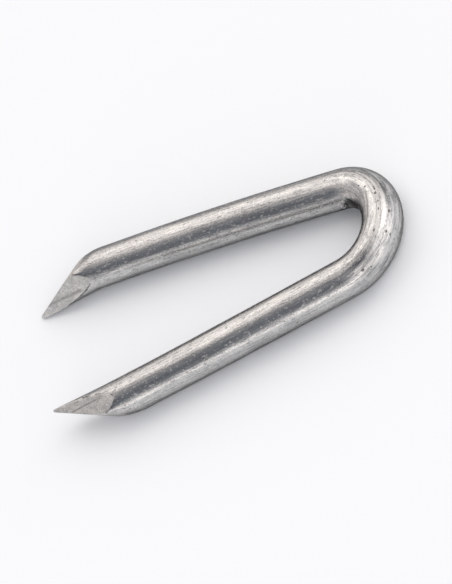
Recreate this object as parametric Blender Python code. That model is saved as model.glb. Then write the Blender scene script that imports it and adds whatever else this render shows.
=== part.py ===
"""Galvanised fence staple: one length of round steel wire, bent to a U and cut to a point at each end.

Run with: blender --background --python part.py
Units are metres and degrees, +Z up. The staple lies flat: +X runs from the points to the crown, and
leg A is on the +Y side.
"""
import math

import bmesh
import bpy
import numpy as np
from mathutils import Vector

# The wire and its bend
WIRE_DIAMETER = 0.0040
CROWN_GAP = 0.00618
LEG_SPLAY = 7.3

# Each leg: length along its centre line from the crown's end to its tip, and the radius it bows inward on
LEG_A_LENGTH = 0.03809
LEG_B_LENGTH = 0.03449
LEG_A_BOW_RADIUS = 0.456
LEG_B_BOW_RADIUS = 1.255

# Points. Two slanting cuts meet in a sharp edge, whose tip is nipped off. A cut's slope is its angle to
# the wire. Its side, and the sharp tip's, is the angle round the wire that it faces: 0 is up, 90 is away
# from the other leg. The shear also sets the wire's end over, towards the other leg.
POINT_A_STEEP_SLOPE = 29.1
POINT_A_STEEP_SIDE = 33.0
POINT_A_SHALLOW_SLOPE = 8.1
POINT_A_SHALLOW_SIDE = -58.5
POINT_A_TIP_SIDE = -161.8
POINT_A_SET = 0.00148
POINT_B_STEEP_SLOPE = 26.9
POINT_B_STEEP_SIDE = 114.5
POINT_B_SHALLOW_SLOPE = 11.0
POINT_B_SHALLOW_SIDE = 23.5
POINT_B_TIP_SIDE = -53.1
POINT_B_SET = 0.00024
SET_LENGTH = 0.0086
TIP_NIP = 0.00055
STEEP_CUT_ROLL = 0.0010
SHALLOW_CUT_ROLL = 0.0002

# The flat that the forming pin pressed into the inside of the bend, on leg A's side
FORMING_MARK_INTO_CROWN = 0.0014
FORMING_MARK_SIDE = -86.0
FORMING_MARK_LENGTH = 0.0017
FORMING_MARK_WIDTH = 0.0016
FORMING_MARK_DEPTH = 0.00016

# Fineness of the faceted surface
SIDES = 44
CROWN_STEP_DEG = 5.0
LEG_STEP = 0.0030
POINT_STEP = 0.0006

WIRE_RADIUS = WIRE_DIAMETER / 2
CROWN_RADIUS = (CROWN_GAP + WIRE_DIAMETER) / 2
HALF_BEND = math.radians(90 - LEG_SPLAY)
HALF_CROWN_LENGTH = CROWN_RADIUS * HALF_BEND


class Leg:
    """One leg: side is +1 for the leg at +Y and -1 for the other."""

    def __init__(self, side, length, bow_radius, tip_side, tip_set, cuts):
        self.side = side
        self.length = length
        self.bow_radius = bow_radius
        self.sharp_length = length + TIP_NIP
        self.tip_set = tip_set
        reaches = [self.cut_reach(slope, facing, tip_side) + WIRE_RADIUS for slope, facing, roll in cuts]
        self.point_start = self.sharp_length - max(SET_LENGTH + WIRE_DIAMETER, *reaches)
        self.tip = self.place(self.sharp_length, math.radians(tip_side), WIRE_RADIUS)
        self.cuts = [(self.cut_normal(slope, facing), roll) for slope, facing, roll in cuts]

    def axes(self, along):
        """Centre, direction to the tip and direction away from the other leg, at a length from the crown's end."""
        heading = math.pi / 2 + HALF_BEND
        turned = heading + along / self.bow_radius
        x = CROWN_RADIUS * math.cos(HALF_BEND) + self.bow_radius * (math.sin(turned) - math.sin(heading))
        y = CROWN_RADIUS * math.sin(HALF_BEND) - self.bow_radius * (math.cos(turned) - math.cos(heading))
        centre = Vector((x, self.side * y, 0))
        to_tip = Vector((math.cos(turned), self.side * math.sin(turned), 0))
        outward = Vector((math.sin(turned), -self.side * math.cos(turned), 0))
        return centre, to_tip, outward

    def place(self, along, facing, radius):
        """A point at an angle round the wire, set over where it is near the tip."""
        centre, to_tip, outward = self.axes(along)
        start = self.sharp_length - SET_LENGTH
        set_over = self.tip_set * max(0.0, (along - start) / SET_LENGTH) ** 1.2
        around = outward * math.sin(facing) + Vector((0, 0, math.cos(facing)))
        return centre + around * radius - outward * set_over

    def cut_reach(self, slope, facing, tip_side):
        """How far back from the sharp tip a cut leaves the wire: its depth at the tip, run out at its slope."""
        across_tip = math.radians(facing - tip_side)
        depth = WIRE_RADIUS * (1 - math.cos(across_tip)) + self.tip_set * math.sin(math.radians(facing))
        return depth / math.tan(math.radians(slope))

    def cut_normal(self, slope, facing):
        """The normal of a cut through the sharp tip: across the wire, and leaning to the tip by the slope."""
        centre, to_tip, outward = self.axes(self.sharp_length)
        slope, facing = math.radians(slope), math.radians(facing)
        across = outward * math.sin(facing) + Vector((0, 0, math.cos(facing)))
        return to_tip * math.sin(slope) + across * math.cos(slope)

    def planes(self):
        """A point and a normal for each plane that ends the leg: its cuts, then the nip at the tip."""
        to_tip = self.axes(self.sharp_length)[1]
        return [*((self.tip, normal) for normal, roll in self.cuts), (self.tip - to_tip * TIP_NIP, to_tip)]

    def radius(self, along, facing):
        """The wire's radius, drawn in where the shear rolled the heel of each cut over."""
        radius = WIRE_RADIUS
        surface = self.place(along, facing, WIRE_RADIUS)
        heel = min(1.0, max(0.0, (self.sharp_length - along) / SET_LENGTH)) ** 2
        for normal, roll in self.cuts:
            depth = (self.tip - surface).dot(normal)
            near = max(0.0, 1 - max(depth, 0.0) / roll)
            radius -= roll / 4 * near ** 2 * heel
        return radius

    def ring(self, along):
        return [self.place(along, facing, self.radius(along, facing)) for facing in ring_angles()]

    def stations(self):
        """Lengths along the leg, close together where the point is."""
        plain = np.linspace(0, self.point_start, max(2, round(self.point_start / LEG_STEP)) + 1)
        end = self.sharp_length + WIRE_RADIUS
        close = np.linspace(self.point_start, end, round((end - self.point_start) / POINT_STEP) + 1)
        return [*plain[1:], *close[1:]]


def ring_angles():
    """Angles round the wire, from the top outward, with a narrow flat face at the bottom and one outermost."""
    return [2 * math.pi * (i + 0.5) / SIDES for i in range(SIDES)]


def crown_point(turn, facing):
    """A point on the crown at an angle from its apex, with the forming pin's mark on the inside."""
    radial = Vector((math.cos(turn), math.sin(turn), 0))
    radius = WIRE_RADIUS - mark_depth(HALF_CROWN_LENGTH - turn * CROWN_RADIUS, facing)
    around = radial * math.sin(facing) + Vector((0, 0, math.cos(facing)))
    return radial * CROWN_RADIUS + around * radius


def mark_depth(into_crown, facing):
    """Depth of the pressed flat: even over its middle and gone at its edges."""
    arc = math.remainder(facing - math.radians(FORMING_MARK_SIDE), 2 * math.pi) * WIRE_RADIUS
    lengthwise = abs(into_crown - FORMING_MARK_INTO_CROWN) / (FORMING_MARK_LENGTH / 2)
    crosswise = abs(arc) / (FORMING_MARK_WIDTH / 2)
    inside = min(1.0, max(0.0, 2 - 1.6 * max(lengthwise, crosswise)))
    return FORMING_MARK_DEPTH * inside


def crown_rings():
    count = 2 * round(math.degrees(HALF_BEND) / CROWN_STEP_DEG)
    turns = np.linspace(HALF_BEND, -HALF_BEND, count)
    return [[crown_point(turn, facing) for facing in ring_angles()] for turn in turns]


def sweep_wire(bm, rings):
    """A tube through the rings, closed at both ends."""
    loops = [[bm.verts.new(point) for point in ring] for ring in rings]
    for near, far in zip(loops, loops[1:]):
        for i in range(SIDES):
            j = (i + 1) % SIDES
            bm.faces.new((near[i], near[j], far[j], far[i]))
    bm.faces.new(loops[0])
    bm.faces.new(loops[-1])
    bmesh.ops.recalc_face_normals(bm, faces=bm.faces)


def cut_point(bm, leg):
    """Slices the end of one leg by its planes, and closes each slice with a flat facet."""
    centre, to_tip, outward = leg.axes(leg.point_start)
    for point, normal in leg.planes():
        ends = [v for v in bm.verts if (v.co - centre).dot(to_tip) > 0 and v.co.y * leg.side > 0]
        near = {item for v in ends for item in (v, *v.link_edges, *v.link_faces)}
        cut = bmesh.ops.bisect_plane(
            bm, geom=list(near), dist=1e-7, plane_co=point, plane_no=normal, clear_outer=True
        )
        rim = [item for item in cut["geom_cut"] if isinstance(item, bmesh.types.BMEdge)]
        bmesh.ops.edgeloop_fill(bm, edges=rim)
    bmesh.ops.recalc_face_normals(bm, faces=bm.faces)


def galvanised_wire():
    material = bpy.data.materials.new("galvanised_wire")
    material.use_nodes = True
    surface = material.node_tree.nodes["Principled BSDF"]
    surface.inputs["Base Color"].default_value = (0.50, 0.49, 0.48, 1)
    surface.inputs["Metallic"].default_value = 1.0
    surface.inputs["Roughness"].default_value = 0.34
    return material


def rest_on_ground(mesh):
    """Moves the staple so that the middle of its underside's box is at the origin."""
    points = np.array([v.co for v in mesh.vertices])
    low, high = points.min(axis=0), points.max(axis=0)
    middle = (low + high) / 2
    for vertex in mesh.vertices:
        vertex.co -= Vector((middle[0], middle[1], low[2]))


def build_staple():
    leg_a = Leg(
        1, LEG_A_LENGTH, LEG_A_BOW_RADIUS, POINT_A_TIP_SIDE, POINT_A_SET,
        [
            (POINT_A_STEEP_SLOPE, POINT_A_STEEP_SIDE, STEEP_CUT_ROLL),
            (POINT_A_SHALLOW_SLOPE, POINT_A_SHALLOW_SIDE, SHALLOW_CUT_ROLL),
        ],
    )
    leg_b = Leg(
        -1, LEG_B_LENGTH, LEG_B_BOW_RADIUS, POINT_B_TIP_SIDE, POINT_B_SET,
        [
            (POINT_B_STEEP_SLOPE, POINT_B_STEEP_SIDE, STEEP_CUT_ROLL),
            (POINT_B_SHALLOW_SLOPE, POINT_B_SHALLOW_SIDE, SHALLOW_CUT_ROLL),
        ],
    )
    bm = bmesh.new()
    rings_a = [leg_a.ring(along) for along in reversed(leg_a.stations())]
    rings_b = [leg_b.ring(along) for along in leg_b.stations()]
    sweep_wire(bm, [*rings_a, *crown_rings(), *rings_b])
    for leg in (leg_a, leg_b):
        cut_point(bm, leg)
    mesh = bpy.data.meshes.new("staple")
    bm.to_mesh(mesh)
    bm.free()
    rest_on_ground(mesh)
    mesh.shade_smooth()
    mesh.set_sharp_from_angle(angle=math.radians(28))
    mesh.materials.append(galvanised_wire())
    staple = bpy.data.objects.new("staple", mesh)
    bpy.context.collection.objects.link(staple)


for leftover in list(bpy.data.objects):
    bpy.data.objects.remove(leftover, do_unlink=True)
build_staple()
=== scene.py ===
"""The fence staple's looks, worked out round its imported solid. Metres, +Z up; the staple lies flat."""
import math

import bpy
import numpy as np
from mathutils import Matrix, Vector


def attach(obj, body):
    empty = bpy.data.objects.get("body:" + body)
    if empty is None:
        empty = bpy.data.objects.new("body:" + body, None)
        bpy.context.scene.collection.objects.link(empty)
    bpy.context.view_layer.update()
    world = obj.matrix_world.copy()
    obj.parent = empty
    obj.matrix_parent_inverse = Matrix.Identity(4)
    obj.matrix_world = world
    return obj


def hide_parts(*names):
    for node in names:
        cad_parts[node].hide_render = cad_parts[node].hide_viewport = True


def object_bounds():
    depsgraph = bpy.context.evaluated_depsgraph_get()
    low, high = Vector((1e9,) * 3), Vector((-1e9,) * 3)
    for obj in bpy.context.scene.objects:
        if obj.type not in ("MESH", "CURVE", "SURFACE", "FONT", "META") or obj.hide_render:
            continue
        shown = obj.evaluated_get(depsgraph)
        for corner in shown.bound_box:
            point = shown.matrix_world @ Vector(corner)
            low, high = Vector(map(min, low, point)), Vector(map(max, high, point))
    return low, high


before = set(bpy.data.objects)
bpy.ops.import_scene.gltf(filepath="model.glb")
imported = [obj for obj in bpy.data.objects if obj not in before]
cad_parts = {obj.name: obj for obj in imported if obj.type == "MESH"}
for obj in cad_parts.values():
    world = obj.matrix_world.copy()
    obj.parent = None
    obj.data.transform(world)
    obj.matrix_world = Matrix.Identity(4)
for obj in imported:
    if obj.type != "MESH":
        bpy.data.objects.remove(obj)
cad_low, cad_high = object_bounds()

# The viewpoint. A long lens looks down on the staple from the side of leg B and the crown. The camera is
# rolled, so that the points lie at the left of the picture and the crown at its upper right.
AIM = Vector((0.0018098, -0.0009389, 0.001995))
AIM_DISTANCE = 0.3947265
VIEW_AZIMUTH = 42.5188
VIEW_ELEVATION = 43.7703
VIEW_ROLL = -55.0717
LENS_MM = 251.737
NEAREST_SEEN = 0.01

lens = bpy.data.cameras.new("camera")
lens.lens = LENS_MM
lens.clip_start = NEAREST_SEEN
camera = bpy.data.objects.new("camera", lens)
turned = Matrix.Rotation(math.radians(VIEW_AZIMUTH), 4, "Z")
tipped = Matrix.Rotation(math.radians(90 - VIEW_ELEVATION), 4, "X")
rolled = Matrix.Rotation(math.radians(VIEW_ROLL), 4, "Z")
stand_off = Matrix.Translation((0, 0, AIM_DISTANCE))
camera.matrix_world = Matrix.Translation(AIM) @ turned @ tipped @ stand_off @ rolled
bpy.context.collection.objects.link(camera)
bpy.context.scene.camera = camera
bpy.context.scene.view_settings.view_transform = "Standard"

# The studio. The staple lies on a plain pale table in a tent of cloth. Lamps outside light round patches
# of the cloth beyond the crown, beyond leg A, beside leg B and beyond the points. The tent is open on leg
# B's side towards the points, and a dim room shows there.
FLOOR_SIZE = 3.0
FLOOR_DROP = 0.00001
FLOOR_COLOUR = (0.915, 0.945, 0.975, 1)
UNLIT = (0, 0, 0, 1)
TENT_CLOTH = (0.02, 0.03, 0.06, 1)
OPEN_SIDE = (0.19, 0.205, 0.235, 1)

# The middle of each lit patch, as its azimuth from +X to +Y and its elevation above the table, then the
# angle from there at which it fades out, and its colour. The opening has the same three angles.
LIT_PATCHES = (
    (-6, 18, 68, (1.80, 1.74, 1.68, 1)),
    (85, 49, 57, (1.12, 1.06, 1.00, 1)),
    (-108, 26, 51, (1.88, 1.80, 1.74, 1)),
    (159, 25, 71, (0.95, 0.89, 0.84, 1)),
)
TENT_OPENING = (-129, 39, 43)


class Socket:
    """A shader node's output, with the operators that shader maths needs. With no output it starts a tree."""

    def __init__(self, tree, output=None):
        self.tree = tree
        self.output = output

    def node(self, kind, settings=(), out=0, **inputs):
        """The output of a new node: its type, its settings, and the values or links of its sockets.

        A socket is given by its name, with _ for a space, or by i and its number.
        """
        made = self.tree.nodes.new("ShaderNode" + kind)
        for name, value in dict(settings).items():
            setattr(made, name, value)
        for name, value in inputs.items():
            numbered = name[0] == "i" and name[1:].isdigit()
            socket = made.inputs[int(name[1:]) if numbered else name.replace("_", " ")]
            if isinstance(value, Socket):
                self.tree.links.new(value.output, socket)
            else:
                socket.default_value = value
        return Socket(self.tree, made.outputs[out])

    def maths(self, operation, *others):
        """A Math node on this socket and then the others."""
        values = {f"i{i}": value for i, value in enumerate((self, *others))}
        return self.node("Math", {"operation": operation}, **values)

    def __add__(self, other):
        return self.maths("ADD", other)

    __radd__ = __add__

    def __sub__(self, other):
        return self.maths("SUBTRACT", other)

    def __rsub__(self, other):
        return -1 * self + other

    def __mul__(self, other):
        return self.maths("MULTIPLY", other)

    __rmul__ = __mul__

    def greater(self, other):
        """The greater of the two values."""
        return self.maths("MAXIMUM", other)

    def swing(self):
        """How far a noise from 0 to 1 is from its middle."""
        return self - 0.5

    def clamped(self):
        """The value, held between 0 and 1."""
        return self.node("Clamp", Value=self)

    def scaled(self, x, y, z):
        """The vector, with each of its parts multiplied by its own number."""
        return self.node("VectorMath", {"operation": "MULTIPLY"}, i0=self, i1=(x, y, z))

    def ramp(self, low, high):
        """0 below low, 1 above high and a smooth step between; low may be the greater."""
        settings = {"interpolation_type": "SMOOTHSTEP"}
        return self.node("MapRange", settings, Value=self, From_Min=low, From_Max=high)

    def blend(self, low_colour, high_colour):
        """A colour from low_colour at 0 to high_colour at 1."""
        return self.node("Mix", {"data_type": "RGBA"}, out=2, i0=self, i6=low_colour, i7=high_colour)


def toward(direction, azimuth, elevation, fade):
    """1 in the middle of a round patch of the tent, and 0 from the fade angle on, with a smooth step."""
    azimuth, elevation = math.radians(azimuth), math.radians(elevation)
    level = math.cos(elevation)
    middle = (level * math.cos(azimuth), level * math.sin(azimuth), math.sin(elevation))
    cosine = direction.node("VectorMath", {"operation": "DOT_PRODUCT"}, out=1, i0=direction, i1=middle)
    return cosine.ramp(math.cos(math.radians(fade)), 1.0)


world = bpy.data.worlds.new("light_tent")
bpy.context.scene.world = world
world.use_nodes = True
tent = world.node_tree
direction = Socket(tent).node("TexCoord", out="Generated")
light = TENT_CLOTH
added = {"data_type": "RGBA", "blend_type": "ADD"}
for azimuth, elevation, fade, colour in LIT_PATCHES:
    patch = toward(direction, azimuth, elevation, fade).blend(UNLIT, colour)
    light = patch.node("Mix", added, out=2, i0=1.0, i6=light, i7=patch)
light = toward(direction, *TENT_OPENING).blend(light, OPEN_SIDE)
tent.links.new(light.output, tent.nodes["Background"].inputs["Color"])

half = FLOOR_SIZE / 2
corners = [(x * half, y * half, -FLOOR_DROP) for x, y in ((-1, -1), (1, -1), (1, 1), (-1, 1))]
floor_mesh = bpy.data.meshes.new("floor")
floor_mesh.from_pydata(corners, [], [(0, 1, 2, 3)])
floor = bpy.data.objects.new("floor", floor_mesh)
bpy.context.collection.objects.link(floor)
pale = bpy.data.materials.new("pale_table")
pale.use_nodes = True
pale_surface = pale.node_tree.nodes["Principled BSDF"]
pale_surface.inputs["Base Color"].default_value = FLOOR_COLOUR
pale_surface.inputs["Roughness"].default_value = 1.0
pale_surface.inputs["Specular IOR Level"].default_value = 0.0
floor_mesh.materials.append(pale)

# The staple. One length of galvanised steel wire, 4 mm round, is bent round a pin to a U with a slight bow
# in each leg, and sheared to a slanting point at each end. It has the solid's sizes, on a finer grid and
# with the edges that the shears rolled over. Where values come in pairs, leg A's is the first.
WIRE_RADIUS = (cad_high.z - cad_low.z) / 2
CROWN_RADIUS = 0.00509
CROWN_CENTRE_Y = 0.000092
LEG_SPLAY = 7.3
LEG_LENGTHS = (0.03809, 0.03449)
BOW_RADII = (0.456, 1.255)
HALF_BEND = math.radians(90 - LEG_SPLAY)
HALF_CROWN = CROWN_RADIUS * HALF_BEND
crown_centre = np.array((cad_high.x - CROWN_RADIUS - WIRE_RADIUS, CROWN_CENTRE_Y, WIRE_RADIUS))

# The points: how far the shear set the wire's end over and from how far back, on a curve of this power,
# and how much of the sharp tip is nipped off
TIP_SETS = (0.00148, 0.00024)
SET_LENGTH = 0.0086
SET_CURVE = 1.2
TIP_NIP = 0.00055

# Angles of each point's cuts: a cut's slope to the wire, and the side of the wire that it faces, from 0
# for up to 90 for away from the other leg. The last is the side that the sharp tip is on.
STEEP_SLOPES = (29.1, 26.9)
STEEP_SIDES = (33.0, 114.5)
SHALLOW_SLOPES = (8.1, 11.0)
SHALLOW_SIDES = (-58.5, 23.5)
TIP_SIDES = (-161.8, -53.1)

# The grid: its points round the wire, and the spacing of its rings on the plain legs, crown and points
AROUND = 144
PLAIN_STEP = 0.00028
CROWN_STEP = 0.00013
POINT_STEP = 0.000085

UP = np.array((0.0, 0.0, 1.0))


def axes(along):
    """Centre line, direction ahead and direction outward at lengths from the bend's apex.

    Lengths are negative on leg A. The centre line is a circle round the crown's centre, then on each leg a
    much larger circle that goes on from it without a kink, and near the tip it is set over inward.
    """
    leg = (along > 0).astype(int)
    side = np.where(leg == 0, 1.0, -1.0)
    bow = np.array(BOW_RADII)[leg]
    on_crown = np.minimum(abs(along) / CROWN_RADIUS, HALF_BEND)
    beyond = abs(along) - on_crown * CROWN_RADIUS
    facing = on_crown + beyond / bow
    x = CROWN_RADIUS * np.cos(on_crown) + bow * (np.cos(facing) - np.cos(on_crown))
    y = CROWN_RADIUS * np.sin(on_crown) + bow * (np.sin(facing) - np.sin(on_crown))
    flat = np.zeros_like(x)
    outward = np.stack([np.cos(facing), side * np.sin(facing), flat], -1)
    ahead = np.stack([side * np.sin(facing), -np.cos(facing), flat], -1)
    start = np.array(LEG_LENGTHS)[leg] + TIP_NIP - SET_LENGTH
    set_over = np.array(TIP_SETS)[leg] * np.maximum(0, (beyond - start) / SET_LENGTH) ** SET_CURVE
    centre = np.stack([x, side * y, flat], -1) - outward * set_over[..., None]
    return centre, ahead, outward


def around_wire(outward, facing):
    """Unit vectors across the wire at angles from up toward outward."""
    return outward * np.sin(facing)[..., None] + UP * np.cos(facing)[..., None]


def least(a, b, blend):
    """The lesser of two depths, with the corner between them rounded over a band as wide as blend."""
    near = np.maximum(blend - abs(a - b), 0) / blend
    return np.minimum(a, b) - near ** 2 * blend / 4


class Point:
    """The sheared end of one leg: the wire's round, cut by a steep and a shallow plane and nipped."""

    # Widths of the rolled edges: at each cut's heel, along the ridge, at the nip and next to the tip
    STEEP_ROLL = 0.0010
    SHALLOW_ROLL = 0.00015
    RIDGE_ROLL = 0.00008
    NIP_ROLL = 0.00020
    TIP_ROLL = 0.00012

    # The last upright section's distance from the nip, and the rings that lean from there to the tip
    LAST_SECTION = 0.00025
    LEANING_RINGS = 14

    # How finely a section's middle is worked out, how far rays go in radii, and how often they are halved
    STEPS_OUT = 40
    SPOKES = 72
    RAY_REACH = 2.2
    HALVINGS = 34

    def __init__(self, leg):
        self.sign = 1 if leg else -1
        self.sharp = LEG_LENGTHS[leg] + TIP_NIP
        self.start = self.sharp - SET_LENGTH - 2 * WIRE_RADIUS
        centre, ahead, outward = axes(np.array(self.sign * (HALF_CROWN + self.sharp)))
        self.to_tip = ahead * self.sign
        self.tip = centre + around_wire(outward, np.radians(TIP_SIDES[leg])) * WIRE_RADIUS
        self.steep_normal = self.cut_normal(outward, STEEP_SLOPES[leg], STEEP_SIDES[leg])
        self.shallow_normal = self.cut_normal(outward, SHALLOW_SLOPES[leg], SHALLOW_SIDES[leg])

    def cut_normal(self, outward, slope, side):
        """A cut's normal: across the wire on the side that it faces, and leaning to the tip by its slope."""
        slope = math.radians(slope)
        return self.to_tip * math.sin(slope) + around_wire(outward, np.radians(side)) * math.cos(slope)

    def depths(self, points, length):
        """Depth below the wire's round and below each cut, for points at lengths from the crown's end."""
        centre = axes(self.sign * (HALF_CROWN + length))[0]
        round_depth = WIRE_RADIUS - np.linalg.norm(points - centre, axis=-1)
        steep = (self.tip - points) @ self.steep_normal
        shallow = (self.tip - points) @ self.shallow_normal
        nip = (self.tip - self.to_tip * TIP_NIP - points) @ self.to_tip
        return round_depth, steep, shallow, nip

    def inside(self, points, length):
        """Depth below the finished surface: the least of all depths, with its edges rolled over."""
        round_depth, steep, shallow, nip = self.depths(points, length)
        heel = np.clip((self.sharp - length) / SET_LENGTH, 0, 1) ** 2
        ridge = least(steep, shallow, self.RIDGE_ROLL)
        steep_edge = least(round_depth, steep, self.TIP_ROLL + heel * (self.STEEP_ROLL - self.TIP_ROLL))
        shallow_edge = least(round_depth, shallow, self.TIP_ROLL + heel * (self.SHALLOW_ROLL - self.TIP_ROLL))
        depth = np.minimum(np.minimum(ridge, steep_edge), shallow_edge)
        return least(depth, nip, self.NIP_ROLL)

    def middles(self, centre, outward, length):
        """The middle of each section: the mean place in it, weighted by the square of the depth there."""
        spread = np.linspace(0, 1, self.STEPS_OUT + 1)[1:, None] * WIRE_RADIUS
        turn = np.linspace(0, 2 * np.pi, self.SPOKES + 1)[None, :-1]
        offsets = np.stack([spread * np.sin(turn), spread * np.cos(turn)], -1).reshape(-1, 2)
        points = centre[:, None] + offsets[None, :, :1] * outward[:, None] + offsets[None, :, 1:] * UP
        weight = np.maximum(self.inside(points, length[:, None] * np.ones(len(offsets))), 0) ** 2
        weight *= np.linalg.norm(offsets, axis=1)
        return (points * weight[..., None]).sum(1) / weight.sum(1)[:, None]

    def rings(self, facing):
        """Rings of points from where the cuts begin to the tip, and their lengths from the crown's end.

        Each ring is cast from a middle well inside the section: rays go out until the depth is 0, found by
        halving. Past the last section the rays lean forward until they meet at the tip.
        """
        end = self.sharp - TIP_NIP - self.LAST_SECTION
        length = np.linspace(self.start, end, round((end - self.start) / POINT_STEP))
        centre, ahead, outward = axes(self.sign * (HALF_CROWN + length))
        middle = self.middles(centre, outward, length)
        upright = np.zeros(len(length))
        leaning = np.radians(np.linspace(0, 90, self.LEANING_RINGS + 1)[1:])
        lean = np.concatenate([upright, leaning])
        section = np.minimum(np.arange(len(lean)), len(length) - 1)
        middle, length, outward = middle[section], length[section], outward[section]
        to_tip = ahead[section] * self.sign
        rays = around_wire(outward[:, None], facing[None]) * np.cos(lean)[:, None, None]
        rays = rays + (to_tip * np.sin(lean)[:, None])[:, None]
        near, far = np.zeros(rays.shape[:2]), np.full(rays.shape[:2], self.RAY_REACH * WIRE_RADIUS)
        for _ in range(self.HALVINGS):
            reach = (near + far) / 2
            hit = middle[:, None] + rays * reach[..., None]
            lengths = length[:, None] + reach * np.sin(lean)[:, None]
            within = self.inside(hit, lengths) > 0
            near, far = np.where(within, reach, near), np.where(within, far, reach)
        return hit[:-1], lengths[:-1]


def wire_rings():
    """Rings of points across the wire from leg A's tip to leg B's, and their lengths from the bend's apex.

    The angles round the wire are half a step off straight down, where the wire lies on its table.
    """
    facing = np.linspace(0, 2 * np.pi, AROUND + 1)[:-1] + np.pi / AROUND + np.pi
    ends = [Point(0), Point(1)]
    (points_a, lengths_a), (points_b, lengths_b) = (end.rings(facing) for end in ends)
    start_a, start_b = lengths_a[0, 0], lengths_b[0, 0]
    leg_a = np.linspace(-HALF_CROWN - start_a, -HALF_CROWN, round(start_a / PLAIN_STEP))[1:]
    crown = np.linspace(-HALF_CROWN, HALF_CROWN, round(2 * HALF_CROWN / CROWN_STEP))[1:]
    leg_b = np.linspace(HALF_CROWN, HALF_CROWN + start_b, round(start_b / PLAIN_STEP))[1:-1]
    plain = np.concatenate([leg_a, crown, leg_b])
    centre, _, outward = axes(plain)
    tube = centre[:, None] + around_wire(outward[:, None], facing[None]) * WIRE_RADIUS
    along = np.repeat(plain[:, None], AROUND, 1)
    points = np.concatenate([points_a[::-1], tube, points_b])
    along = np.concatenate([-HALF_CROWN - lengths_a[::-1], along, HALF_CROWN + lengths_b])
    return ends, points, along


def closed_skin(rings, around):
    """Quads between neighbouring rings, and a fan of triangles to one point more at each end."""
    ring, step = np.meshgrid(np.arange(rings - 1), np.arange(around), indexing="ij")
    near, beside = ring * around + step, ring * around + (step + 1) % around
    quads = np.stack([near, near + around, beside + around, beside], -1).reshape(-1, 4)
    rim = np.arange(around)
    turned = (rim + 1) % around
    last = (rings - 1) * around
    pole = np.full(around, rings * around)
    first_fan = np.stack([pole, rim, turned], -1)
    last_fan = np.stack([pole + 1, last + turned, last + rim], -1)
    return quads.tolist() + first_fan.tolist() + last_fan.tolist()


ends, points, along = wire_rings()
rings = points.shape[0]
ring_points = points
poles = np.stack([points[0].mean(0), points[-1].mean(0)])
points = np.concatenate([points.reshape(-1, 3), poles])
along = np.concatenate([along.ravel(), along[[0, -1]].mean(1)])
centre, _, outward = axes(along)
offset = points - centre
sideways = (offset * outward).sum(-1)
facing = np.arctan2(sideways, offset[:, 2])

# How far a place lies inside a cut's plane rather than the wire's round; above 0 on the sheared facets
FAR = 0.001
FACET_EDGE = 0.00003
cut_in = np.full(along.shape, -FAR)
on_shallow = np.zeros(along.shape, bool)
for end in ends:
    near = along * end.sign > HALF_CROWN + end.start
    round_depth, steep, shallow, nip = end.depths(points[near], abs(along[near]) - HALF_CROWN)
    cut_in[near] = round_depth - np.minimum(np.minimum(steep, shallow), nip)
    on_shallow[near] = (cut_in[near] > -FACET_EDGE) & (shallow < steep)
on_round = 1 - np.clip(cut_in / FACET_EDGE + 1, 0, 1)

# Distance from the border of each shallow cut's facet. The border is crossed where the shallow cut's depth
# passes the round's, between neighbours on a ring. Only its heel, well back from the sharp tip, counts.
HEEL_FROM = 0.0046
border_far = np.full(along.shape, FAR)
for end in ends:
    near = np.flatnonzero(along[:-2] * end.sign > HALF_CROWN + end.sharp - SET_LENGTH)
    round_depth, steep, shallow, _ = end.depths(points[near], abs(along[near]) - HALF_CROWN)
    ring_over = np.full(len(along) - 2, np.nan)
    ring_over[near] = np.where(round_depth < steep, round_depth - shallow, np.nan)
    ring_over = ring_over.reshape(rings, AROUND)
    beside = np.roll(ring_over, -1, axis=1)
    ring, step = np.nonzero(ring_over * beside < 0)
    share = (ring_over / (ring_over - beside))[ring, step][:, None]
    border = ring_points[ring, step] * (1 - share) + ring_points[ring, (step + 1) % AROUND] * share
    apart = np.linalg.norm(points[near][:, None] - border[None], axis=-1).min(1)
    from_tip = end.sharp + HALF_CROWN - abs(along[near])
    border_far[near] = np.minimum(apart + np.clip(HEEL_FROM - from_tip, 0, FAR), FAR)

# The zinc froze unevenly over the drawn wire, so its round wanders in by up to 0.03 mm: each net's spacing
# lengthwise, its count round the wire, its depth and its random seed. The nets reach past both tips, and
# a small share of their depth is left on the sheared facets.
UNEVENNESS = (
    (0.0042, 8, 0.000022, 3),
    (0.0019, 15, 0.000009, 5),
    (0.0008, 30, 0.000003, 8),
)
NET_REACH = 0.05
UNEVEN_ON_FACETS = 0.15


def uneven(along, facing, run, around, seed):
    """Smooth heights from 0 to 1: random values on a net laid round the straight wire, run metres apart
    lengthwise and around of them about it, with a smooth step from each to the next."""
    net = np.random.default_rng(seed).random((round(2 * NET_REACH / run) + 2, around))
    row, column = (along + NET_REACH) / run, facing / (2 * np.pi) * around
    i, j = np.floor(row).astype(int), np.floor(column).astype(int)
    s, t = row - i, column - j
    s, t = s * s * (3 - 2 * s), t * t * (3 - 2 * t)
    near = net[i, j % around] * (1 - t) + net[i, (j + 1) % around] * t
    far = net[i + 1, j % around] * (1 - t) + net[i + 1, (j + 1) % around] * t
    return near * (1 - s) + far * s


sunk = np.zeros(along.shape)
for run, around, depth, seed in UNEVENNESS:
    sunk += depth * uneven(along, facing, run, around, seed)
sunk *= UNEVEN_ON_FACETS + (1 - UNEVEN_ON_FACETS) * on_round

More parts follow.
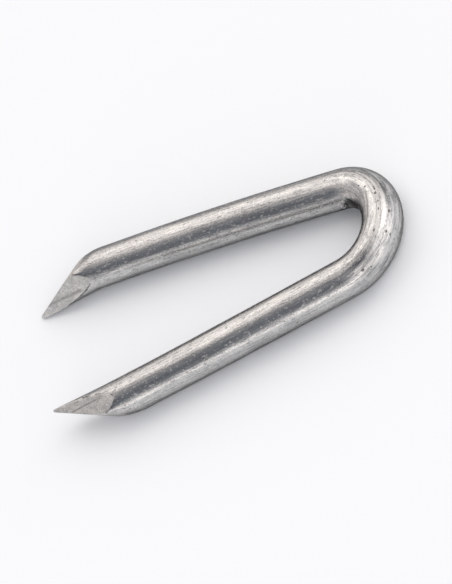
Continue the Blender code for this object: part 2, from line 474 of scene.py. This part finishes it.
# The flat that the forming pin pressed on the inside of the bend. It is a chord across the round, with a
# steep slanting end towards leg A, where it pushed up a lip, and it runs out towards the apex. It is rough,
# and it and the wire below it are darkened with painted shade. Its sides are degrees, and spreads round the
# wire radians.
MARK_SIDE = -78.0
MARK_DEPTH = 0.00016
MARK_END = -0.0061
MARK_SLANT = 0.0026
MARK_STEP = 0.00012
MARK_RUN_OUT = -0.0016
MARK_FADE = 0.0016
MARK_LEAST_COSINE = 0.5
MARK_LIP = 0.00016
MARK_LIP_HEIGHT = 0.00010
MARK_LIP_SPREAD = 0.45
MARK_RAGGED = 0.0009
MARK_RAGGED_NET = (0.0004, 50, 12)
MARK_ROUGH = 0.00005
# The depth at which the flat is fully rough and painted with shade, then the painted shade on the wire below
# it
MARK_SHADED_DEPTH = 0.00003
SHADE_BELOW_MARK_TO = -150
SHADE_BELOW_MARK_TOP_FADE = 0.15
SHADE_BELOW_MARK_BOTTOM_FADE = 0.2

across = facing - math.radians(MARK_SIDE)
ragged = uneven(along, facing, *MARK_RAGGED_NET)
chord = WIRE_RADIUS - (WIRE_RADIUS - MARK_DEPTH) / np.maximum(np.cos(across), MARK_LEAST_COSINE)
steep_end = MARK_END + across * MARK_SLANT + (ragged - 0.5) * MARK_RAGGED
begun = np.clip((along - steep_end) / MARK_STEP, 0, 1)
running_out = np.clip((MARK_RUN_OUT - along) / MARK_FADE, 0, 1) ** 0.5
pressed = np.maximum(chord - MARK_DEPTH * (1 - begun * running_out), 0)
past_end = (along - steep_end + MARK_LIP) / MARK_LIP
lip = np.exp(-past_end ** 2) * np.exp(-(across / MARK_LIP_SPREAD) ** 2)
# The flat's mask: it is rough there, and darkened with painted shade
in_mark = np.clip(pressed / MARK_SHADED_DEPTH, 0, 1)
sunk += pressed - MARK_LIP_HEIGHT * lip + MARK_ROUGH * ragged * in_mark
# The wire below the flat is darkened with painted shade too
under_mark = np.clip(-across / SHADE_BELOW_MARK_TOP_FADE, 0, 1)
under_mark *= np.clip((facing - math.radians(SHADE_BELOW_MARK_TO)) / SHADE_BELOW_MARK_BOTTOM_FADE, 0, 1)
painted_shade = np.maximum(in_mark, under_mark * begun * running_out)

# The band on the inside of the bend where the zinc is darker, and the crease along its upper edge with
# painted shade: places along the wire from the bend's apex, sides of the wire in degrees, and fades round it
# in radians
CREASE_PLACES = (-0.0027, -0.0011, -0.0002, 0.0016, 0.0034)
CREASE_SIDES = (1, -9, -13, -15, -13)
CREASE_HALF_WIDTH = 0.00010
CREASE_DEPTH = 0.00003
CREASE_START_FADE = 0.0005
CREASE_END_FADE = 0.0012
CREASE_PAINTED_SHADE = 0.8
BAND_TOP_FADE = 0.12
BAND_LOWER_SIDE = -150
BAND_LOWER_FADE = 0.3
BAND_REACH = 0.0058
BAND_END_FADE = 0.0018

below = np.radians(np.interp(along, CREASE_PLACES, CREASE_SIDES)) - facing
creased = np.exp(-(below * WIRE_RADIUS / CREASE_HALF_WIDTH) ** 2)
creased *= np.clip((along - CREASE_PLACES[0]) / CREASE_START_FADE, 0, 1)
creased *= np.clip((CREASE_PLACES[-1] - along) / CREASE_END_FADE, 0, 1)
sunk += CREASE_DEPTH * creased
# The crease is darkened with painted shade
painted_shade = np.maximum(painted_shade, CREASE_PAINTED_SHADE * creased)
# The band, from the crease down round the inside of the bend, where the zinc is made darker
band = np.clip(below / BAND_TOP_FADE, 0, 1)
band *= np.clip((facing - math.radians(BAND_LOWER_SIDE)) / BAND_LOWER_FADE, 0, 1)
band *= np.clip((BAND_REACH - abs(along)) / BAND_END_FADE, 0, 1)

# The pressed flat's lip gets a painted glint: lighter zinc in a narrow place above its middle, in radians
# round the wire
PAINTED_GLINT = 1.2
PAINTED_GLINT_ABOVE = 0.15
PAINTED_GLINT_SPREAD = 0.16
painted_glint = PAINTED_GLINT * lip * np.exp(-((across - PAINTED_GLINT_ABOVE) / PAINTED_GLINT_SPREAD) ** 2)

mesh = bpy.data.meshes.new("galvanised_staple")
mesh.from_pydata(points.tolist(), [], closed_skin(rings, AROUND))
mesh.update()
normals = np.zeros(3 * len(points), np.float32)
mesh.vertices.foreach_get("normal", normals)
points = points + crown_centre - normals.reshape(-1, 3) * sunk[:, None]
mesh.vertices.foreach_set("co", points.astype(np.float32).ravel())
mesh.update()
mesh.shade_smooth()

# Each score is a groove that the blade dragged along a shallow cut: where it starts and ends, seen from
# above. Distances from it are level ones.
SCORES = (((-0.0206, 0.00665), (-0.0158, 0.00615)), ((-0.0162, -0.00823), (-0.0124, -0.00833)))
scored = np.full(along.shape, FAR)
for start, end in np.array(SCORES):
    run = end - start
    from_start = points[:, :2] - start
    share = np.clip(from_start @ run / (run @ run), 0, 1)
    scored = np.minimum(scored, np.linalg.norm(from_start - share[:, None] * run, axis=1))
scored = np.where(on_shallow, scored, FAR)

# What the finish reads: places on the straight wire and distances, all in millimetres, and masks
MM = 1000
drawn = np.stack([along, sideways, offset[:, 2]], -1) * MM
straight = mesh.attributes.new("drawn", "FLOAT_VECTOR", "POINT")
straight.data.foreach_set("vector", drawn.astype(np.float32).ravel())
looks = {
    "sheared": cut_in * MM,
    "edge": border_far * MM,
    "scored": scored * MM,
    "painted_shade": painted_shade,
    # The band's darker zinc, less the painted glint on the pressed flat's lip
    "band": band - painted_glint,
}
for name, values in looks.items():
    mesh.attributes.new(name, "FLOAT", "POINT").data.foreach_set("value", values.astype(np.float32))

staple = bpy.data.objects.new("galvanised_staple", mesh)
bpy.context.collection.objects.link(staple)

# The finish. Zinc lies mottled over the wire's draw lines, with fine pits and frosted specks, and the
# sheared facets are bare, matt steel. Places are millimetres on the straight wire: along, outward, up.
LIGHT_ZINC = (0.65, 0.64, 0.63, 1)
DULL_ZINC = (0.27, 0.272, 0.278, 1)
SHEARED_STEEL = (0.84, 0.82, 0.795, 1)
DULL_STEEL = (0.40, 0.40, 0.40, 1)
# The colour of the pits, rims and scores, and of the painted shade in the pressed flat, below it and in the
# crease
DARK_MARKS_AND_SHADE = (0.07, 0.068, 0.066, 1)
EDGE_TINT = (0.28, 0.28, 0.28, 1)

# Noises: how far each is squeezed along the wire, how many of its features a millimetre holds, its detail
# and its roughness
DRAW_LINES = (0.06, 5.5, 3.0, 0.6)
BROAD_BANDS = (0.06, 1.5, 2.0, 0.5)
GRAIN = (0.6, 8.5, 2.5, 0.65)
MOTTLE = (0.6, 1.3, 3.0, 0.6)
DASHES = (0.28, 6.0, 2.0, 0.6)
FROST = (0.6, 4.0, 2.0, 0.6)
WANDER = (1.0, 2.2, 3.0, 0.6)
STEEL_GRAIN = (1.0, 9.0, 2.0, 0.65)
STEEL_MOTTLE = (1.0, 1.4, 2.0, 0.5)

# Cells round scattered points: how far they are squeezed along the wire, and how many a millimetre holds
PIT_CELLS = (0.7, 1.1)
SPECK_CELLS = (0.5, 2.4)

# Where marks begin and end: on a noise or a cell, then where a mottle lets them show
DASH_EDGE = (0.58, 0.68)
DASH_PATCHES = (0.40, 0.56)
FROST_EDGE = (0.56, 0.66)
PIT_EDGE = (0.10, 0.03)
PIT_PATCHES = (0.50, 0.58)
SPECK_EDGE = (0.20, 0.08)
SPECK_PATCHES = (0.48, 0.56)
RIM_PATCHES = (0.62, 0.48)
GROOVE_PATCHES = (0.76, 0.44)
STEEL_TONES = (0.30, 0.68)

# Where marks begin and end in millimetres, and how far their edges wander
BEND_ENDS = (9.0, 5.5)
OUTSIDE_EDGE = (-0.3, 1.2)
FACET_RIM = (-0.005, 0.02)
FACET_WANDER = 0.04
RIM_EDGE = (0.13, 0.04)
RIM_WANDER = 0.22
GROOVE_EDGE = (0.15, 0.0)
GROOVE_WANDER = 0.12

# Pinholes in the zinc, most of them in a row along the bend: millimetres along the wire from its apex, the
# side of the wire in degrees, and radius. Each is a little longer than it is wide.
PINHOLES = (
    (-3.40, -4, 0.09),
    (-2.72, 6, 0.10),
    (-2.13, 26, 0.09),
    (-1.89, 25, 0.11),
    (-1.44, 23, 0.12),
    (-0.56, 23, 0.09),
    (0.22, 23, 0.12),
    (2.25, 20, 0.11),
    (0.37, 53, 0.10),
    (2.03, 54, 0.09),
    (2.13, 68, 0.09),
    (5.36, 53, 0.12),
    (4.80, 64, 0.07),
)
PINHOLE_SQUEEZE = 0.8
PINHOLE_WANDER = 0.18
PINHOLE_OUTER = 1.3
PINHOLE_INNER = 0.5

# The zinc's tone, from light at 0 to dull at 1: its middle, its contrast, and what each pattern adds
MIDDLE_TONE = 0.38
CONTRAST = 1.1
LINES_TONE = 1.4
LINES_TONE_ON_BEND = 1.8
MOTTLE_TONE = 0.45
MOTTLE_TONE_ON_BEND = 0.9
GRAIN_TONE = 1.4
BANDS_TONE = 1.0
DASHES_TONE = 0.55
BAND_AND_GLINT_TONE = 0.45
STEEL_GRAIN_TONE = 0.7

# How dark the marks are
PITS_DARK = 0.6
SPECKS_DARK = 0.55
ALL_PITS_DARK = 0.8
# The painted shade in the pressed flat, below it and in the crease: its darkness, and how much grain and
# mottle vary it
PAINTED_SHADE_DARK = 0.8
PAINTED_SHADE_GRAIN = 1.2
PAINTED_SHADE_MOTTLE = 1.0
RIM_DARK = 0.75
GROOVE_DARK = 0.45

ZINC_ROUGHNESS = 0.11
DULL_ROUGHER = 0.12
FROST_ROUGHER = 0.32
STEEL_ROUGHNESS = 0.47
MARKS_ROUGHER = 0.2

# The relief's heights in millimetres
LINES_HEIGHT = 0.012
BANDS_HEIGHT = 0.010
GRAIN_HEIGHT = 0.010
MOTTLE_HEIGHT = 0.009
DASHES_DEPTH = 0.005
HOLLOWS_DEPTH = 0.03
STEEL_GRAIN_HEIGHT = 0.010
STEEL_MOTTLE_HEIGHT = 0.02
GROOVE_DEPTH = 0.015

zinc = bpy.data.materials.new("galvanised_wire")
zinc.use_nodes = True
finish = zinc.node_tree


def attribute(name, out="Fac"):
    """A value that the mesh carries on its points."""
    return Socket(finish).node("Attribute", {"attribute_name": name}, out=out)


place = attribute("drawn", "Vector")


def noise(squeeze, scale, detail, roughness):
    """Noise from 0 to 1 on the straight wire, drawn out along it by as much as it is squeezed."""
    squeezed = place.scaled(squeeze, 1, 1)
    return place.node("TexNoise", Vector=squeezed, Scale=scale, Detail=detail, Roughness=roughness)


def cells(squeeze, scale):
    """Distance from the nearest of many scattered points on the straight wire."""
    return place.node("TexVoronoi", Vector=place.scaled(squeeze, 1, 1), Scale=scale)


# The patterns of the zinc
bent = place.node("SeparateXYZ", Vector=place).maths("ABSOLUTE").ramp(*BEND_ENDS)
outside = place.node("SeparateXYZ", out=1, Vector=place).ramp(*OUTSIDE_EDGE)
lines = noise(*DRAW_LINES)
bands = noise(*BROAD_BANDS)
grain = noise(*GRAIN)
mottle = noise(*MOTTLE)
dashes = noise(*DASHES).ramp(*DASH_EDGE) * mottle.ramp(*DASH_PATCHES)
frost = noise(*FROST).ramp(*FROST_EDGE)
wandering = noise(*WANDER).swing()

# Its pits and pinholes
hollows = cells(*PIT_CELLS).ramp(*PIT_EDGE) * mottle.ramp(*PIT_PATCHES) * PITS_DARK
beside_holes = place.scaled(PINHOLE_SQUEEZE, 1, 1)
for along_mm, side, radius in PINHOLES:
    up, out = math.cos(math.radians(side)), math.sin(math.radians(side))
    middle = (PINHOLE_SQUEEZE * along_mm, WIRE_RADIUS * MM * out, WIRE_RADIUS * MM * up)
    apart = place.node("VectorMath", {"operation": "DISTANCE"}, out=1, i0=beside_holes, i1=middle)
    ragged_apart = apart + PINHOLE_WANDER * wandering
    hollows = hollows.greater(ragged_apart.ramp(PINHOLE_OUTER * radius, PINHOLE_INNER * radius))
specks = cells(*SPECK_CELLS).ramp(*SPECK_EDGE) * grain.ramp(*SPECK_PATCHES)
pits = hollows.greater(SPECKS_DARK * specks)

# The colours of the zinc and of the bare steel
dullness = (LINES_TONE + LINES_TONE_ON_BEND * bent * outside) * lines.swing()
dullness = dullness + (MOTTLE_TONE + MOTTLE_TONE_ON_BEND * bent) * mottle.swing()
dullness = dullness + GRAIN_TONE * grain.swing() + BANDS_TONE * bands.swing() + DASHES_TONE * dashes
# The band makes the zinc darker on the inside of the bend; the painted glint on the pressed flat's lip makes
# it lighter
skin = (MIDDLE_TONE + CONTRAST * dullness + BAND_AND_GLINT_TONE * attribute("band")).clamped()
zinc_colour = skin.blend(LIGHT_ZINC, DULL_ZINC)
steel_grain = noise(*STEEL_GRAIN)
steel_mottle = noise(*STEEL_MOTTLE)
steel_tone = STEEL_GRAIN_TONE * steel_grain + (1 - STEEL_GRAIN_TONE) * steel_mottle
steel_colour = steel_tone.ramp(*STEEL_TONES).blend(SHEARED_STEEL, DULL_STEEL)

# The dark marks: painted shade in the pressed flat, below it and in the crease, pits, the shallow facets'
# rims and the scores
bare = (attribute("sheared") + FACET_WANDER * wandering).ramp(*FACET_RIM)
rim = (attribute("edge") + RIM_WANDER * wandering).ramp(*RIM_EDGE) * mottle.ramp(*RIM_PATCHES)
groove = (attribute("scored") + GROOVE_WANDER * wandering).ramp(*GROOVE_EDGE)
groove = groove * steel_mottle.ramp(*GROOVE_PATCHES)
# The painted shade, varied by the grain and the mottle
painted_shade_strength = PAINTED_SHADE_DARK - PAINTED_SHADE_GRAIN * grain.swing() - PAINTED_SHADE_MOTTLE * mottle.swing()
marks = (attribute("painted_shade") * painted_shade_strength).clamped().greater(pits * ALL_PITS_DARK * (1 - bare))
dark = marks.greater(rim * RIM_DARK).greater(groove * GROOVE_DARK)
colour = dark.blend(bare.blend(zinc_colour, steel_colour), DARK_MARKS_AND_SHADE)

zinc_roughness = ZINC_ROUGHNESS + DULL_ROUGHER * skin + FROST_ROUGHER * frost
roughness = zinc_roughness + bare * (STEEL_ROUGHNESS - zinc_roughness) + MARKS_ROUGHER * dark

zinc_height = LINES_HEIGHT * lines + BANDS_HEIGHT * bands + GRAIN_HEIGHT * grain + MOTTLE_HEIGHT * mottle
zinc_height = zinc_height - DASHES_DEPTH * dashes - HOLLOWS_DEPTH * hollows
steel_height = STEEL_GRAIN_HEIGHT * steel_grain + STEEL_MOTTLE_HEIGHT * steel_mottle - GROOVE_DEPTH * groove
height = zinc_height + bare * (steel_height - zinc_height)
relief = height.node("Bump", Height=height, Distance=1 / MM, Strength=1.0)

surface = finish.nodes["Principled BSDF"]
surface.inputs["Metallic"].default_value = 1.0
surface.inputs["Specular Tint"].default_value = EDGE_TINT
finish.links.new(colour.output, surface.inputs["Base Color"])
finish.links.new(roughness.output, surface.inputs["Roughness"])
finish.links.new(relief.output, surface.inputs["Normal"])
mesh.materials.append(zinc)
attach(staple, "root")
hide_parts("staple")
